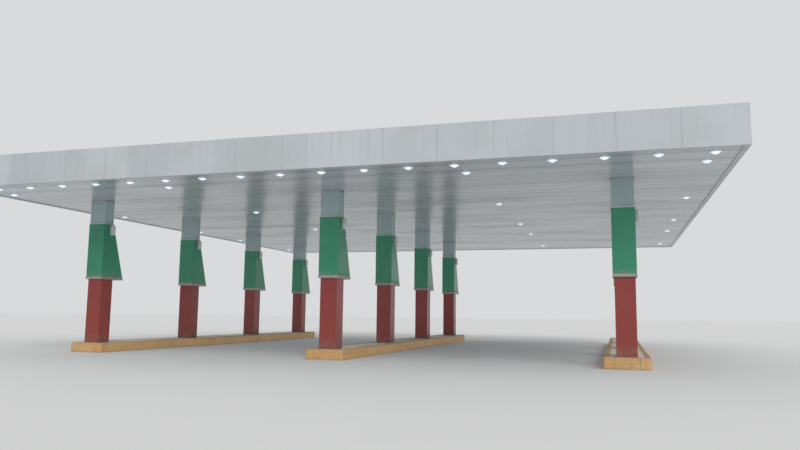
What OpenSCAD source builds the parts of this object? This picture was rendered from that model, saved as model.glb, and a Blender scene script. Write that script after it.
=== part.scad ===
// Filling station canopy: twelve cased columns on three kerbed islands carry a flat
// steel-framed head with a strip soffit, round lamps, plain fascias and a sheeted roof.
// Front is -Y, the islands run along Y, and the ground is z = 0. Millimetres.

/* [Plan] */
// Width of the head over the side fascias
canopy_w = 24000; // [21400:50:30000]
// Distance between the island rows
row_pitch = 9150; // [7500:50:10500]
// Distance between the columns of one island
bay_pitch = 5650; // [4500:50:6500]
// Front fascia to the first column axis
front_overhang = 3750; // [2000:50:4500]
// Last column axis to the rear fascia
rear_overhang = 4900; // [2000:50:5500]

/* [Levels] */
// Underside of the soffit above the ground
soffit_z = 5480; // [5000:10:6200]
// Underside of the pale line that closes the green casing
top_trim_z = 4600; // [4200:10:4800]
// Underside of the grey band between the red and green casings
band_z = 2600; // [2000:10:3000]
// Height of the islands
island_h = 340; // [150:5:450]

/* [Islands] */
// Width of an island over its kerbs
island_w = 1300; // [1200:10:1800]
// Island end ahead of the first column axis
island_front = 450; // [400:10:1500]
// Island end behind the last column axis
island_rear = 1100; // [700:10:1800]
// Thickness of the kerb
kerb_t = 150; // [80:5:200]
// Chamfer along the top of the kerb
kerb_chamfer = 25; // [5:1:50]
// Radius of the kerb's corners in plan
kerb_r = 80; // [60:5:300]
// Drop of the paving below the kerb's top edge
paving_drop = 12; // [0:1:40]

/* [Posts] */
// Side of the square steel post
post_w = 260; // [200:5:280]
// Wall of the post
post_wall = 12; // [8:1:20]
// Thickness of the post's base and cap plates
plate_t = 20; // [12:1:30]
// Base and cap plates stand out this far round the post
plate_lip = 18; // [5:1:20]

/* [Casings] */
// Width of the red lower casing
red_w = 580; // [540:5:640]
// Depth of the red lower casing
red_d = 580; // [480:5:700]
// Front of the red casing ahead of the column axis
red_front = 175; // [170:1:200]
// Width of the neck casing under the soffit
neck_w = 630; // [560:5:700]
// Depth of the neck casing under the soffit
neck_d = 470; // [400:5:560]
// Clearance between the neck casing and the inside of the green casing
green_gap = 3; // [1:1:20]
// Depth of the green casing at its foot
green_foot_d = 1130; // [800:10:1400]
// Wall of the casings
casing_t = 15; // [8:1:20]
// Height of the grey band under the green casing
band_h = 90; // [40:5:150]
// Height of the pale line over the green casing
top_trim_h = 35; // [20:1:80]
// Trims stand out this far past the casing that they close
trim_proud = 8; // [2:1:20]
// Clearance round a casing where it passes through the soffit
seal_gap = 5; // [1:1:12]

/* [Soffit] */
// Width of one soffit strip with its joint
strip_pitch = 300; // [200:10:600]
// Width of the open joint between strips
joint_w = 14; // [8:1:30]
// Bevel on each side of a joint
joint_bevel = 4; // [1:1:8]
// Depth of the soffit strips
strip_depth = 25; // [18:1:40]
// Thickness of the web over a joint
joint_web = 8; // [4:1:12]
// Height of the carriers that the strips clip to
carrier_h = 40; // [25:1:45]
// Width of the carriers
carrier_w = 40; // [30:1:60]
// Side of the carriers' hanger rods
hanger_w = 16; // [10:1:24]
// Carriers stand this far to each side of a row of lamps
carrier_lamp_off = 600; // [350:10:900]
// Carriers stand this far clear of the neck casings
carrier_neck_off = 785; // [600:5:900]
// Carriers start this far behind the holes of the front lamps
carrier_end = 150; // [60:10:400]
// Strips rest on the fascias' bottom returns by this much
soffit_lap = 40; // [20:5:60]

/* [Lamps] */
// Pitch of the front lamps
front_lamp_pitch = 1300; // [900:10:1320]
// First front lamp inside the right-hand edge
front_lamp_in = 690; // [500:10:900]
// Least distance from the last front lamp to the left-hand edge
front_lamp_end = 1000; // [600:10:1200]
// Front lamp row behind the front edge
front_lamp_row = 690; // [500:10:800]
// Inner depth rows of lamps from the centre line
lamp_row_inner = 4920; // [3500:10:6000]
// Outer depth rows of lamps inside the side edges
lamp_row_outer = 770; // [500:10:1200]
// Radius of the hole for a lamp
lamp_hole_r = 130; // [90:1:170]
// Rim overlaps the soffit by this much round the hole
lamp_rim_lap = 25; // [10:1:40]
// Thickness of the lamp's rim
lamp_rim_t = 8; // [4:1:12]
// Chamfer round the rim's lower edge
lamp_rim_bevel = 4; // [1:1:4]
// Height of the lamp's housing over the soffit strips
lamp_can_h = 45; // [20:1:48]
// Drop of the lamp's dome below the rim
lamp_dome_drop = 60; // [20:1:90]

/* [Frame] */
// Gap from the soffit strips' backs up to the girders
girder_gap = 55; // [50:1:120]
// Depth of the girders
girder_h = 400; // [300:10:600]
// Width of the girders' flanges
girder_w = 200; // [150:5:300]
// Thickness of the girders' flanges
girder_flange = 20; // [12:1:30]
// Thickness of the girders' webs
girder_web = 14; // [8:1:20]
// Thickness of the stiffeners over the posts and over the girders
stiffener_t = 12; // [8:1:20]
// Depth of a cross beam at the ridge
beam_ridge_h = 320; // [240:5:500]
// Depth of a cross beam at its tips
beam_tip_h = 140; // [120:5:200]
// Width of the cross beams' flanges
beam_w = 140; // [100:5:200]
// Thickness of the cross beams' flanges and webs
beam_t = 12; // [8:1:18]
// Number of cross beams
beams_n = 11; // [5:1:15]
// Height of the purlins
purlin_h = 100; // [60:5:140]
// Width of the purlins
purlin_w = 60; // [40:5:80]
// Metal of the purlins
purlin_t = 6; // [4:1:8]
// Lip along the purlins' open edges
purlin_lip = 20; // [12:1:24]
// Number of purlins on each slope
purlins_n = 8; // [5:1:12]
// Clearance between the last purlin and the gutter
purlin_gap = 10; // [5:1:40]
// Height of the edge channels along the front and rear
edge_h = 180; // [120:5:260]
// Depth of the edge channels
edge_d = 60; // [40:5:90]
// Metal of the edge channels
edge_t = 8; // [5:1:12]

/* [Roof] */
// Pitch of the roof sheets' ribs
rib_pitch = 400; // [250:10:600]
// Height of the ribs
rib_h = 35; // [20:1:50]
// Width of a rib at its top
rib_top = 60; // [40:5:90]
// Run of a rib's sloping flank
rib_flank = 25; // [15:1:40]
// Thickness of the sheets and flashings
sheet_t = 3; // [2:0.5:6]
// Sheets stop this far from the ridge line
ridge_gap = 20; // [5:5:60]
// Width of each wing of the ridge cap
ridge_wing = 260; // [150:10:400]
// Width of the side gutters
gutter_w = 170; // [120:5:250]
// Height of the side gutters
gutter_h = 90; // [60:5:110]
// Sheets end this far over the gutter
eave_lap = 50; // [20:5:90]

/* [Fascia] */
// Height of the fascia
fascia_h = 1000; // [960:10:1400]
// Thickness of the fascia panels
fascia_t = 20; // [10:1:30]
// Depth of the fascia's top and bottom returns
fascia_ret = 140; // [100:5:200]
// Width of one fascia panel
fascia_panel = 1500; // [900:50:3000]
// Width of the joint between fascia panels
fascia_joint = 12; // [6:1:20]
// Depth of that joint
fascia_joint_d = 8; // [3:1:9]
// Thickness of the gussets under the top return
fascia_gusset_t = 12; // [6:1:20]

/* [Side boxes] */
// Height of the box on the side of a green casing
side_box_h = 360; // [250:10:500]
// Width of the box
side_box_w = 180; // [120:5:240]
// Box stands out this far from the casing
side_box_out = 100; // [60:5:140]
// Chamfer round the box's front
side_box_bevel = 15; // [5:1:25]
// Box lies this far in from the casing's rear and top edges
side_box_in = 20; // [10:1:60]

/* [Hidden] */

CURVE_FN = 48;
EPS = 1;
SEAT = 0.3;

BAYS = 3;
depth = front_overhang + BAYS * bay_pitch + rear_overhang;
front_y = -depth / 2;
rear_y = depth / 2;
first_y = front_y + front_overhang;
last_y = first_y + BAYS * bay_pitch;
post_ys = [for (i = [0 : BAYS]) first_y + i * bay_pitch];
half_w = canopy_w / 2;

// Levels of the head, one standing on the next
soffit_top = soffit_z + strip_depth;
girder_z = soffit_top + girder_gap;
beam_z = girder_z + girder_h;
fascia_z = soffit_z - fascia_t;
fascia_top = fascia_z + fascia_h;
beam_reach = half_w - fascia_t - edge_d;
roof_slope = atan((beam_ridge_h - beam_tip_h) / beam_reach);

// The red casing's foot to the band, and the casings above it
band_top = band_z + band_h;
neck_front = neck_d / 2;
green_proud = casing_t + green_gap;
green_front = neck_front + green_proud;
green_w = neck_w + 2 * green_proud;
green_head_d = neck_d + 2 * green_proud;
island_len = island_front + BAYS * bay_pitch + island_rear;

// Depth rows of lamps, as shares of the head's depth from the front edge
LAMP_ROWS = [0.068, 0.296, 0.523, 0.677, 0.915];
lamp_row_outer_x = half_w - lamp_row_outer;
lamp_xs = [-lamp_row_outer_x, -lamp_row_inner, lamp_row_inner, lamp_row_outer_x];
lamp_ys = [for (s = LAMP_ROWS) front_y + s * depth];
front_lamp_y = front_y + front_lamp_row;
front_lamps_n = floor((canopy_w - front_lamp_in - front_lamp_end) / front_lamp_pitch) + 1;
front_lamp_xs = [for (i = [0 : front_lamps_n - 1]) half_w - front_lamp_in - i * front_lamp_pitch];

// Carriers stand clear of the columns and the lamps
carrier_x = neck_w / 2 + carrier_neck_off;
carrier_xs_half = [carrier_x, lamp_row_inner - carrier_lamp_off, lamp_row_inner + carrier_lamp_off,
                   row_pitch - carrier_x, lamp_row_outer_x - carrier_lamp_off];
carrier_front = front_lamp_y + lamp_hole_r + carrier_end;

// The soffit's two ends on the fascias' returns, and its two joints half-way along a bay
soffit_in = fascia_ret - soffit_lap;
soffit_y0 = front_y + soffit_in;
soffit_y1 = first_y + bay_pitch / 2;
soffit_y2 = last_y - bay_pitch / 2;
soffit_y3 = rear_y - soffit_in;

beam_in = fascia_t + edge_d + beam_w / 2;
beam_ys = [for (i = [0 : beams_n - 1])
           front_y + beam_in + i * (depth - 2 * beam_in) / (beams_n - 1)];

function row_x(side) = side * row_pitch;

// Height of the cross beams' top over their underside at a distance from the ridge
function beam_top(x) = beam_ridge_h - x * tan(roof_slope);

module along_x(w) {
  rotate([90, 0, 90]) translate([0, 0, -w / 2]) linear_extrude(w) children();
}

module along_y(y0, l) {
  translate([0, y0 + l, 0]) rotate([90, 0, 0]) linear_extrude(l) children();
}

// End of a block of width w and height h, with both top edges chamfered by c
module block_end(w, h, c) {
  polygon([[-w / 2, 0], [w / 2, 0], [w / 2, h - c], [w / 2 - c, h], [-w / 2 + c, h], [-w / 2, h - c]]);
}

// A block from y = 0 to l, with turned corners of radius r and its whole top edge chamfered
module chamfered_block(w, l, h, r, c) {
  along_y(r, l - 2 * r) block_end(w, h, c);
  translate([0, l / 2, 0]) along_x(w - 2 * r) block_end(l, h, c);
  for (corner = [[1, 1, 0], [-1, 1, 90], [-1, -1, 180], [1, -1, 270]])
    translate([corner.x * (w / 2 - r), l / 2 + corner.y * (l / 2 - r), 0]) rotate([0, 0, corner.z])
      rotate_extrude(angle = 90, $fn = CURVE_FN)
        polygon([[0, 0], [r, 0], [r, h - c], [r - c, h], [0, h]]);
}

// Plan of the space inside an island's kerb
module island_inside() {
  w = island_w - 2 * kerb_t;
  l = island_len - 2 * kerb_t;
  translate([-w / 2, first_y - island_front + kerb_t]) square([w, l]);
}

module island_kerb(side) {
  color("#9a7346")
  translate([row_x(side), 0, 0])
  difference() {
    translate([0, first_y - island_front, 0])
      chamfered_block(island_w, island_len, island_h, kerb_r, kerb_chamfer);
    translate([0, 0, -EPS]) linear_extrude(island_h + 2 * EPS) island_inside();
  }
}

module island_paving(side) {
  color("#c9bfa8")
  translate([row_x(side), 0, 0])
  linear_extrude(island_h - paving_drop) island_inside();
}

// A four-sided sleeve round the column axis: width, front and back, wall
module sleeve(w, front, back, wall, h) {
  difference() {
    translate([-w / 2, -front, 0]) cube([w, front + back, h]);
    translate([-w / 2 + wall, -front + wall, -EPS])
      cube([w - 2 * wall, front + back - 2 * wall, h + 2 * EPS]);
  }
}

module at_posts(side, z) {
  for (y = post_ys) translate([row_x(side), y, z]) children();
}

module posts(side) {
  foot = island_h - paving_drop;
  h = girder_z - foot;
  p = post_w / 2;
  color("#8d9093")
  at_posts(side, foot) {
    difference() {
      translate([-p, -p, 0]) cube([post_w, post_w, h]);
      translate([-p + post_wall, -p + post_wall, plate_t])
        cube([post_w - 2 * post_wall, post_w - 2 * post_wall, h - 2 * plate_t]);
    }
    for (z = [0, h - plate_t]) translate([0, 0, z])
      sleeve(post_w + 2 * plate_lip, p + plate_lip, p + plate_lip, plate_lip + post_wall / 2, plate_t);
  }
}

module red_casings(side) {
  foot = island_h - paving_drop;
  color("#6e2f2a")
  at_posts(side, foot) sleeve(red_w, red_front, red_d - red_front, casing_t, band_z - foot);
}

// The grey band is a tray: it closes the red casing and carries the two above
module grey_bands(side) {
  w = green_w + 2 * trim_proud;
  front = green_front + trim_proud;
  back = green_foot_d - green_front + trim_proud;
  color("#8d8a86")
  at_posts(side, band_z) {
    sleeve(w, front, back, trim_proud + casing_t, band_h);
    difference() {
      translate([-w / 2, -front, 0]) cube([w, front + back, casing_t]);
      translate([-post_w / 2 - plate_lip, -post_w / 2 - plate_lip, -EPS])
        cube([post_w + 2 * plate_lip, post_w + 2 * plate_lip, casing_t + 2 * EPS]);
    }
  }
}

// Side outline of the green casing in (y, z), drawn in by d: upright front, raking back
module green_side(d, h) {
  foot_back = green_foot_d - green_front;
  head_back = green_head_d - green_front;
  polygon([
    [-green_front + d, 0],
    [foot_back - d, 0],
    [head_back - d, h],
    [-green_front + d, h],
  ]);
}

module green_casings(side) {
  h = top_trim_z - band_top;
  color("#2f7a5c")
  at_posts(side, band_top)
  difference() {
    along_x(green_w) green_side(0, h);
    translate([0, 0, -EPS]) along_x(green_w - 2 * casing_t) green_side(casing_t, h + 2 * EPS);
  }
}

module neck_casings(side) {
  h = soffit_top - joint_web - band_z - casing_t;
  color("#7c8a88")
  at_posts(side, band_z + casing_t) sleeve(neck_w, neck_front, neck_front, casing_t, h);
}

module top_trims() {
  w = green_w + 2 * trim_proud;
  half_d = green_front + trim_proud;
  color("#a9b4b0")
  for (side = [-1, 0, 1]) at_posts(side, top_trim_z)
  difference() {
    translate([-w / 2, -half_d, 0]) cube([w, 2 * half_d, top_trim_h]);
    translate([-neck_w / 2 - SEAT, -neck_front - SEAT, -EPS])
      cube([neck_w + 2 * SEAT, neck_d + 2 * SEAT, top_trim_h + 2 * EPS]);
  }
}

// Small closed box high on the right-hand side of each green casing, chamfered round its front
module side_boxes() {
  out = side_box_out;
  b = side_box_bevel;
  w = side_box_w;
  h = side_box_h;
  back = green_head_d - green_front - side_box_in;
  color("#c3c7c6")
  for (side = [-1, 0, 1]) at_posts(side, top_trim_z - side_box_in - h)
  translate([green_w / 2, back - w, 0]) intersection() {
    linear_extrude(h) polygon([[0, 0], [out - b, 0], [out, b], [out, w - b], [out - b, w], [0, w]]);
    translate([0, w, 0]) rotate([90, 0, 0]) linear_extrude(w)
      polygon([[0, 0], [out - b, 0], [out, b], [out, h - b], [out - b, h], [0, h]]);
  }
}

// I-section in (x, z): width, depth, flange, web
module i_section(w, h, flange, web) {
  translate([-w / 2, 0]) square([w, flange]);
  translate([-w / 2, h - flange]) square([w, flange]);
  translate([-web / 2, 0]) square([web, h]);
}

// A girder butts on the edge channels and has a stiffener plate over each post
module girder(side) {
  in = fascia_t + edge_d;
  color("#7d8185")
  translate([row_x(side), 0, girder_z]) {
    along_y(front_y + in, depth - 2 * in) i_section(girder_w, girder_h, girder_flange, girder_web);
    for (y = post_ys) translate([-girder_w / 2, y - stiffener_t / 2, girder_flange])
      cube([girder_w, stiffener_t, girder_h - 2 * girder_flange]);
  }
}

// Cross beam outline in (x, z): level underside, top falling both ways from the ridge
module beam_side(inset) {
  polygon([
    [-beam_reach, inset], [beam_reach, inset],
    [beam_reach, beam_tip_h - inset], [0, beam_ridge_h - inset], [-beam_reach, beam_tip_h - inset],
  ]);
}

// Each cross beam: a tapered web, the flanges round it, and a stiffener over each girder
module cross_beams() {
  color("#868a8e")
  for (y = beam_ys) translate([0, 0, beam_z]) {
    along_y(y - beam_t / 2, beam_t) beam_side(0);
    difference() {
      along_y(y - beam_w / 2, beam_w) beam_side(0);
      along_y(y - beam_w / 2 - EPS, beam_w + 2 * EPS) difference() {
        beam_side(beam_t);
        for (side = [-1, 0, 1])
          translate([row_x(side) - stiffener_t / 2, 0]) square([stiffener_t, beam_ridge_h]);
      }
    }
  }
}

// Puts children on a roof slope: x runs down the slope, z = 0 is the beams' top
module on_slope(side) {
  translate([0, 0, beam_z + beam_ridge_h])
    mirror([side < 0 ? 1 : 0, 0, 0]) rotate([0, roof_slope, 0]) children();
}

// C-section in (x, z), open towards +x, with a lip on each flange
module c_section(w, h, t, lip) {
  difference() {
    square([w, h]);
    translate([t, t]) square([w - (lip > 0 ? 2 * t : 0), h - 2 * t]);
    translate([t, t + lip]) square([w, h - 2 * (t + lip)]);
  }
}

module purlins() {
  first = ridge_wing / 2;
  last = (beam_reach - gutter_w - purlin_gap) / cos(roof_slope) - purlin_w - purlin_h * tan(roof_slope);
  pitch = (last - first) / (purlins_n - 1);
  color("#a3a7aa")
  for (side = [-1, 1]) on_slope(side)
    for (i = [0 : purlins_n - 1])
      translate([first + i * pitch, 0, 0])
        along_y(front_y + beam_in, depth - 2 * beam_in)
          c_section(purlin_w, purlin_h, purlin_t, purlin_lip);
}

// Edge channels carry the fascias: two across the girders' ends, two across the beams' tips
module edge_channels() {
  color("#7d8185") {
    for (end = [0, 1]) mirror([0, end, 0])
      translate([0, rear_y - fascia_t - edge_d, girder_z + (girder_h - edge_h) / 2])
        along_x(canopy_w - 2 * fascia_t) c_section(edge_d, edge_h, edge_t, 0);
    for (end = [0, 1]) mirror([end, 0, 0])
      translate([beam_reach, 0, beam_z])
        along_y(front_y + fascia_t, depth - 2 * fascia_t) c_section(edge_d, beam_tip_h, edge_t, 0);
  }
}

module soffit_carriers() {
  rear_end = rear_y - fascia_ret;
  color("#9b9fa2")
  for (s = [-1, 1]) for (x = carrier_xs_half) translate([s * x, 0, soffit_top]) {
    translate([-carrier_w / 2, carrier_front, 0]) cube([carrier_w, rear_end - carrier_front, carrier_h]);
    for (y = beam_ys) if (y > carrier_front)
      translate([-hanger_w / 2, y - hanger_w / 2, 0])
        cube([hanger_w, hanger_w, beam_z - soffit_top]);
  }
}

// Open joint between two strips in (y, z), with bevelled edges
module strip_joint() {
  side = joint_w / 2;
  flare = side + joint_bevel;
  root = strip_depth - joint_web;
  polygon([[-flare, -EPS], [flare, -EPS], [flare, 0], [side, joint_bevel], [side, root],
           [-side, root], [-side, joint_bevel], [-flare, 0]]);
}

// Side outline of a run of soffit strips in (y, z), with an open joint at each pitch
module strip_outline(y0, y1) {
  n = floor((y1 - y0) / strip_pitch);
  difference() {
    translate([y0, 0]) square([y1 - y0, strip_depth]);
    for (i = [1 : n]) if (y0 + i * strip_pitch + joint_w < y1)
      translate([y0 + i * strip_pitch, 0]) strip_joint();
  }
}

module soffit(y0, y1) {
  w = canopy_w - 2 * soffit_in;
  color("#a4a8ac")
  difference() {
    translate([0, 0, soffit_z]) along_x(w) strip_outline(y0, y1);
    for (side = [-1, 0, 1]) for (y = post_ys) if (y > y0 && y < y1)
      translate([row_x(side) - neck_w / 2 - seal_gap, y - neck_front - seal_gap, soffit_z - EPS])
        cube([neck_w + 2 * seal_gap, neck_d + 2 * seal_gap, strip_depth + 2 * EPS]);
    for (x = lamp_xs) for (y = lamp_ys) if (y > y0 && y < y1)
      translate([x, y, soffit_z - EPS]) cylinder(h = strip_depth + 2 * EPS, r = lamp_hole_r, $fn = CURVE_FN);
    for (x = front_lamp_xs) if (front_lamp_y > y0 && front_lamp_y < y1)
      translate([x, front_lamp_y, soffit_z - EPS])
        cylinder(h = strip_depth + 2 * EPS, r = lamp_hole_r, $fn = CURVE_FN);
  }
}

// Spun housing of a lamp: a chamfered rim under the soffit and a closed can up through the hole
module lamp_rim() {
  outer = lamp_hole_r - SEAT;
  inner = outer - lamp_rim_t;
  rim = lamp_hole_r + lamp_rim_lap;
  top = strip_depth + lamp_can_h;
  rotate_extrude($fn = CURVE_FN)
    polygon([[0, top], [outer, top], [outer, 0], [rim, 0], [rim, lamp_rim_bevel - lamp_rim_t],
             [rim - lamp_rim_bevel, -lamp_rim_t], [inner, -lamp_rim_t],
             [inner, top - lamp_rim_t], [0, top - lamp_rim_t]]);
}

// Pressed glass dome: a cap of a sphere with a short neck inside the rim
module lamp_dome() {
  r = lamp_hole_r - 2 * SEAT - lamp_rim_t;
  drop = lamp_dome_drop;
  ball = (r * r + drop * drop) / (2 * drop);
  half_angle = asin(r / ball);
  steps = 12;
  rotate_extrude($fn = CURVE_FN)
    polygon(concat(
      [[0, 0], [0, -drop]],
      [for (i = [1 : steps]) let (a = half_angle * i / steps)
        [ball * sin(a), ball - drop - ball * cos(a)]]));
  cylinder(h = strip_depth, r = r, $fn = CURVE_FN);
}

module front_lamps() {
  for (x = front_lamp_xs) translate([x, front_lamp_y, soffit_z]) children();
}

module bay_lamps() {
  for (x = lamp_xs) for (y = lamp_ys) translate([x, y, soffit_z]) children();
}

// Fascia section: u runs in from the outer face, v up
module fascia_section() {
  square([fascia_t, fascia_h]);
  square([fascia_ret, fascia_t]);
  translate([0, fascia_h - fascia_t]) square([fascia_ret, fascia_t]);
}

// Gusset in (u, v) from the side channels' top up to the top return, as deep as the channels
module fascia_gusset() {
  foot = beam_z + beam_tip_h - fascia_z;
  top = fascia_h - fascia_t;
  polygon([[fascia_t, foot], [fascia_t + edge_d / 2, foot], [fascia_t + edge_d, top], [fascia_t, top]]);
}

// One straight fascia of a length, mitred at both ends, its outer face on y = 0
module fascia_run(l) {
  n = round(l / fascia_panel);
  intersection() {
    difference() {
      along_x(l) fascia_section();
      for (i = [1 : n - 1])
        translate([-l / 2 + i * l / n - fascia_joint / 2, -EPS, -EPS])
          cube([fascia_joint, fascia_joint_d + EPS, fascia_h + 2 * EPS]);
    }
    translate([0, 0, -EPS]) linear_extrude(fascia_h + 2 * EPS)
      polygon([[-l / 2, 0], [l / 2, 0], [l / 2 - fascia_ret, fascia_ret], [-l / 2 + fascia_ret, fascia_ret]]);
  }
  for (i = [1 : n - 1]) translate([-l / 2 + i * l / n, 0, 0]) along_x(fascia_gusset_t) fascia_gusset();
}

module fascia(angle, l, out) {
  color("#b4b8bb")
  rotate([0, 0, angle]) translate([0, -out, fascia_z]) fascia_run(l);
}

// Sheet outline in (y, z): flat pans with trapezoid ribs, a metal thickness below and above
function rib_points(y0, n, z) = [for (i = [0 : n - 1]) let (c = y0 + (i + 0.5) * rib_pitch) each [
  [c - rib_top / 2 - rib_flank, z], [c - rib_top / 2, z + rib_h],
  [c + rib_top / 2, z + rib_h], [c + rib_top / 2 + rib_flank, z],
]];

module sheet_outline(l) {
  n = floor(l / rib_pitch);
  y0 = -l / 2;
  start = -n * rib_pitch / 2;
  top = concat([[y0, sheet_t]], rib_points(start, n, sheet_t), [[-y0, sheet_t]]);
  low = concat([[y0, 0]], rib_points(start, n, 0), [[-y0, 0]]);
  polygon(concat(top, [for (i = [len(low) - 1 : -1 : 0]) low[i]]));
}

module roof_sheets(side) {
  run = beam_reach / cos(roof_slope) - gutter_w + eave_lap - ridge_gap;
  l = depth - 2 * fascia_t - 2 * edge_d;
  color("#b9bcbe")
  on_slope(side)
    translate([ridge_gap, 0, purlin_h]) rotate([90, 0, 90]) linear_extrude(run) sheet_outline(l);
}

module ridge_cap() {
  l = depth - 2 * fascia_t - 2 * edge_d;
  seat = purlin_h + sheet_t + rib_h;
  color("#aeb1b3")
  for (side = [-1, 1])
    on_slope(side) translate([0, -l / 2, seat]) cube([ridge_wing, l, sheet_t]);
}

module side_gutters() {
  x0 = beam_reach - gutter_w;
  l = depth - 2 * fascia_t - 2 * edge_d;
  color("#9da1a4")
  for (side = [-1, 1])
    mirror([side < 0 ? 1 : 0, 0, 0]) translate([x0, 0, beam_z + beam_top(x0)])
      along_y(-l / 2, l) difference() {
        square([gutter_w, gutter_h]);
        translate([sheet_t, sheet_t]) square([gutter_w - 2 * sheet_t, gutter_h]);
      }
}

island_kerb(-1);  // island_kerb_left
island_kerb(0);  // island_kerb_middle
island_kerb(1);  // island_kerb_right
island_paving(-1);  // island_paving_left
island_paving(0);  // island_paving_middle
island_paving(1);  // island_paving_right
posts(-1);  // posts_left
posts(0);  // posts_middle
posts(1);  // posts_right
red_casings(-1);  // red_casings_left
red_casings(0);  // red_casings_middle
red_casings(1);  // red_casings_right
grey_bands(-1);  // grey_bands_left
grey_bands(0);  // grey_bands_middle
grey_bands(1);  // grey_bands_right
green_casings(-1);  // green_casings_left
green_casings(0);  // green_casings_middle
green_casings(1);  // green_casings_right
neck_casings(-1);  // neck_casings_left
neck_casings(0);  // neck_casings_middle
neck_casings(1);  // neck_casings_right
top_trims();
side_boxes();
girder(-1);  // girder_left
girder(0);  // girder_middle
girder(1);  // girder_right
cross_beams();
purlins();
edge_channels();
soffit_carriers();
soffit(soffit_y0, soffit_y1);  // soffit_front
soffit(soffit_y1, soffit_y2);  // soffit_middle
soffit(soffit_y2, soffit_y3);  // soffit_rear
color("#c8ccd0") front_lamps() lamp_rim();  // front_lamp_rims
color("#ffffff") front_lamps() lamp_dome();  // front_lamp_domes
color("#c8ccd0") bay_lamps() lamp_rim();  // bay_lamp_rims
color("#ffffff") bay_lamps() lamp_dome();  // bay_lamp_domes
fascia(0, canopy_w, depth / 2);  // fascia_front
fascia(180, canopy_w, depth / 2);  // fascia_rear
fascia(-90, depth, canopy_w / 2);  // fascia_left
fascia(90, depth, canopy_w / 2);  // fascia_right
roof_sheets(-1);  // roof_sheets_left
roof_sheets(1);  // roof_sheets_right
ridge_cap();
side_gutters();
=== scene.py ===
import math
import random

import bmesh
import bpy
from mathutils import Matrix, Vector


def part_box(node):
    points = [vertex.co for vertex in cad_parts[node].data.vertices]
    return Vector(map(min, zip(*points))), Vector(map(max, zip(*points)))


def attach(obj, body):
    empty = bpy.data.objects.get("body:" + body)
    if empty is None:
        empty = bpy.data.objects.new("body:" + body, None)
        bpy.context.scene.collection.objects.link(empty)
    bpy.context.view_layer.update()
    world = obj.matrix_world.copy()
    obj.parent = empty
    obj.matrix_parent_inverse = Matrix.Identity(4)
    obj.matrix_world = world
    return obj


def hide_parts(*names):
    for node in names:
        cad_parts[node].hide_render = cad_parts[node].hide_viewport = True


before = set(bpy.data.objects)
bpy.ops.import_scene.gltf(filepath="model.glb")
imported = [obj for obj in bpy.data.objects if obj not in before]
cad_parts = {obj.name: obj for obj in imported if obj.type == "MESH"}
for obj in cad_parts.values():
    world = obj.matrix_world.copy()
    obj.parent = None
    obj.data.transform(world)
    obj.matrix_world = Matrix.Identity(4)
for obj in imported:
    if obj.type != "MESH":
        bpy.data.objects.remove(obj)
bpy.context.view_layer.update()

# Island kerbs: cast concrete kerb stones laid end to end round each island, with thin mortar joints,
# and rolled with ochre road paint where they lie. The paint chips off the arrises down to the concrete,
# and tyres leave dark rubber on the outer faces.
ROWS = ("left", "middle", "right")
KERB_THICK = 0.150
KERB_CHAMFER = 0.025
KERB_CORNER = 0.080
KERB_STONE = 1.0
KERB_CORNER_LEG = 0.30
KERB_JOINT = 0.010
KERB_ARRIS = 0.004
KERB_WEAR_BAND = 0.035
KERB_SLACK = 0.002
CORNER_STEPS = 6
MORTAR_INSET = 0.006
MORTAR_CORNER = 0.3 * KERB_CORNER
WELD = 0.00002
CREASE = math.radians(32)


def linear(code):
    """A hex colour as it is written, turned to Blender's linear colour."""
    parts = [int(code[i:i + 2], 16) / 255 for i in (1, 3, 5)]
    return [c / 12.92 if c <= 0.04045 else ((c + 0.055) / 1.055) ** 2.4 for c in parts] + [1.0]


def feed(tree, node, inputs):
    """Fills a node's inputs, by name or number, with values, sockets, or other nodes' first outputs."""
    for name, value in inputs.items():
        if isinstance(name, int):
            socket = node.inputs[name]
        else:
            socket = next(s for s in node.inputs if s.enabled and s.name == name)
        if isinstance(value, bpy.types.Node):
            value = next(s for s in value.outputs if s.enabled)
        if isinstance(value, bpy.types.NodeSocket):
            tree.links.new(value, socket)
        else:
            socket.default_value = value


def add(tree, kind, inputs, **settings):
    """Adds a shader node with its settings and links."""
    node = tree.nodes.new("ShaderNode" + kind)
    for name, value in settings.items():
        setattr(node, name, value)
    feed(tree, node, inputs)
    return node


def new_finish(name, **constants):
    """A new finish: its material, node tree, shader, and the place on the canopy in metres."""
    material = bpy.data.materials.new(name)
    material.use_nodes = True
    tree = material.node_tree
    shader = tree.nodes["Principled BSDF"]
    feed(tree, shader, {key.replace("_", " "): value for key, value in constants.items()})
    return material, tree, shader, add(tree, "TexCoord", {}).outputs["Object"]


def patches(tree, place, size_mm, low, high, detail=4.0, stretch=(1, 1, 1)):
    """A mask of soft patches of a real size: 0 where the noise is under low, 1 where it is over high."""
    where = add(tree, "Mapping", {"Vector": place, "Scale": stretch})
    noise = add(tree, "TexNoise", {"Vector": where, "Scale": 1000 / size_mm, "Detail": detail})
    return add(tree, "MapRange", {"Value": noise, "From Min": low, "From Max": high},
               interpolation_type="SMOOTHSTEP")


def low_down(tree, place, full, none):
    """A mask of 1 up to one height and 0 from another, in metres."""
    z = add(tree, "SeparateXYZ", {"Vector": place}).outputs["Z"]
    return add(tree, "MapRange", {"Value": z, "From Min": full, "From Max": none,
                                  "To Min": 1.0, "To Max": 0.0}, interpolation_type="SMOOTHSTEP")


def layered(tree, base, *coats):
    """Lays coats over a base colour: each is a colour, then masks and shares that are multiplied."""
    under = linear(base)
    for code, mask, *shares in coats:
        for share in shares:
            mask = add(tree, "Math", {0: mask, 1: share}, operation="MULTIPLY")
        under = add(tree, "Mix", {"Factor": mask, "A": under, "B": linear(code)}, data_type="RGBA")
    return under


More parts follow.
